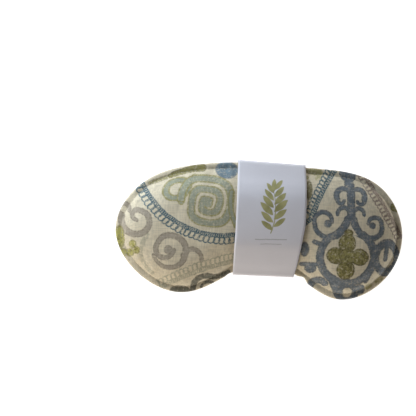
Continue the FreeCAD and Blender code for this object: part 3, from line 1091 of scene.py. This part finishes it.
def add_all_stitches(trees, insert_trees):
    front, left, right_inner, back = trees
    cover = COVER_THREAD, "cover_thread"
    ring, ways = edge_ring(STITCH_INSET, round(GIRTH / STITCH_PITCH))
    rows = [(ring, ways, front, 1), (ring, ways, back, -1)]
    add_stitches("cover_topstitching", *cover, "edge_topstitch", (2.7, 0.46), rows)
    for side, x, tree, out in (("left", HEM_X - HEM_IN, left, -1), ("right", LAP_X + HEM_IN, right_inner, 1)):
        rows = [([(x, y) for y in HEM_STITCHES], [(0.0, 1.0)] * len(HEM_STITCHES), tree, out)]
        add_stitches("hem_stitching_" + side, *cover, "hem_stitch_" + side, (2.6, 0.3), rows)
    insert = INSERT_THREAD, "insert_thread"
    ring, ways = edge_ring(INSERT_SEAM_INSET, round(GIRTH / INSERT_STITCH_PITCH))
    rows = [(ring, ways, insert_trees[0], 1), (ring, ways, insert_trees[1], -1)]
    add_stitches("insert_seam_stitching", *insert, "insert_seam_stitch", (2.0, 0.3), rows)
    places = [(2.8 * k, CLOSING_Y) for k in range(-9, 10)]
    rows = [(places, [(1.0, 0.0)] * len(places), insert_trees[0], 1)]
    add_stitches("insert_closing_stitching", *insert, "insert_closing_stitch", (2.0, 0.3), rows)


def band_place(share, y, z):
    """A point of the strip's face, with the little that the paper leans and flares by."""
    x = BAND_X + BAND_WIDTH * (share - 0.5)
    right = smoothstep(0.3, 1.0, share)
    over = max(smoothstep(5.5, 9.0, z), smoothstep(24.0, 38.0, -y))
    flare = np.interp(y, (-42, -36, -14, 4, 12, 40, 57), (-5.8, -4.8, -1.8, 0.9, 1.2, 0.9, 0.0))
    x += right * flare * over
    x += 0.4 * (1 - right) * over * smoothstep(-20, 0, y)
    y += (0.5 - 2.0 * share) * smoothstep(40, 56, y) + (-41.9 - BAND_FOLD_Y) * -smoothstep(28, 41, -y)
    ripple = 0.16 * noise.noise(Vector((x / 16, y / 22, 3.3))) * over
    return np.array([x, y, z + ripple])


def grid_faces(rows, columns):
    """Faces over a grid of points given row by row."""
    starts = [row * columns + k for row in range(rows - 1) for k in range(columns - 1)]
    return [(a, a + 1, a + columns + 1, a + columns) for a in starts]


def add_band():
    path = smooth_path(BAND_PATH, 0.9)
    ahead = np.gradient(path, axis=0)
    ahead /= np.linalg.norm(ahead, axis=1, keepdims=True)
    out = np.column_stack([ahead[:, 1], -ahead[:, 0]])
    shares = np.linspace(0, 1, BAND_COLUMNS)
    outer, inner = (
        np.array([band_place(s, y, z) for y, z in path + out * off for s in shares]) for off in (PAPER, 0.0)
    )
    faces = grid_faces(len(path), BAND_COLUMNS)
    middle = len(faces) // 2
    if np.dot(normals_of(outer, faces)[middle], outer[middle] - inner[middle]) < 0:
        faces = [tuple(reversed(f)) for f in faces]
    obj = mesh_object("paper_belly_band", *closed_shell(outer, inner, faces), PAPER_WHITE)
    finish_piece(obj, "band", "paper_band")


def add_glue():
    """A thin smear of glue between the strip's lapped ends, wavy at its edges."""
    points = []
    across, along = 40, 8
    for i in range(across + 1):
        for j in range(along + 1):
            x = BAND_X + 49.0 * (i / across - 0.5)
            y = 0.5 + (6.6 + 1.2 * noise.noise(Vector((x / 5, j * 0.1, 1)))) * (j / along - 0.5)
            points.append((x, y, 0.96))
    faces = [tuple(reversed(f)) for f in grid_faces(across + 1, along + 1)]
    points = np.array(points)
    obj = mesh_object("band_glue_line", *closed_shell(points, points - (0, 0, 0.12), faces), GLUE)
    finish_piece(obj, "band", "band_glue")


trees = add_cover()
insert_top, insert_low, insert_trees = add_insert()
add_seed(insert_top, insert_low)
add_all_stitches(trees, insert_trees)
add_band()
add_glue()


# ---- floor, light and camera

FLOOR_GLOW = 0.93  # with the lights, enough for plain white

def add_floor():
    material = bpy.data.materials.new("floor")
    material.use_nodes = True
    tree = material.node_tree
    tree.nodes.clear()
    glow = add_node(tree, "Emission", {"Color": (1, 1, 1, 1), "Strength": FLOOR_GLOW})
    matte = add_node(tree, "BsdfDiffuse", {"Color": (0.5, 0.5, 0.5, 1)})
    total = add_node(tree, "AddShader", {0: glow.outputs[0], 1: matte.outputs[0]})
    add_node(tree, "OutputMaterial", {"Surface": total.outputs[0]})
    # A round sweep: flat under the object, and turning up far behind it on every side.
    profile = [(0.0, 0.0), (2.2, 0.0), (2.6, 0.03), (2.85, 0.12), (3.0, 0.3), (3.05, 1.0)]
    sides = 96
    turns = [2 * math.pi * k / sides for k in range(sides)]
    points = [(radius * math.cos(a), radius * math.sin(a), z) for radius, z in profile for a in turns]
    faces = [
        (a + k, a + (k + 1) % sides, a + sides + (k + 1) % sides, a + sides + k)
        for a in range(0, sides * (len(profile) - 1), sides) for k in range(sides)
    ]
    mesh = bpy.data.meshes.new("floor")
    mesh.from_pydata(points, [], faces)
    mesh.materials.append(material)
    floor = bpy.data.objects.new("floor", mesh)
    bpy.context.scene.collection.objects.link(floor)


def add_light(name, place, target, size, power, colour):
    data = bpy.data.lights.new(name, "AREA")
    data.shape = "DISK"
    data.size = size
    data.energy = power
    data.color = colour
    light = bpy.data.objects.new(name, data)
    light.location = place
    light.rotation_euler = (Vector(target) - Vector(place)).to_track_quat("-Z", "Y").to_euler()
    bpy.context.scene.collection.objects.link(light)


add_floor()
add_light("window", (-0.25, 0.24, 0.15), (-0.07, 0.0, 0.01), 0.2, 1.02, (0.74, 0.86, 1.0))
add_light("fill", (-0.25, -0.41, 0.2), (-0.06, 0, 0.01), 0.35, 0.92, (1.0, 0.9, 0.76))

world = bpy.data.worlds.new("world")
world.use_nodes = True
world.node_tree.nodes["Background"].inputs["Color"].default_value = (0.93, 0.96, 1.0, 1)
world.node_tree.nodes["Background"].inputs["Strength"].default_value = 0.06
bpy.context.scene.world = world
bpy.context.scene.view_settings.view_transform = "Standard"

# Straight down, and to the left of the middle, where the photograph has room.
camera_data = bpy.data.cameras.new("camera")
camera_data.lens = 92.6
camera_data.sensor_width = 36
camera = bpy.data.objects.new("camera", camera_data)
camera.location = (-0.0435, 0.0158, 0.907)
camera.rotation_euler = (0, 0, math.radians(2.6))
bpy.context.scene.collection.objects.link(camera)
bpy.context.scene.camera = camera
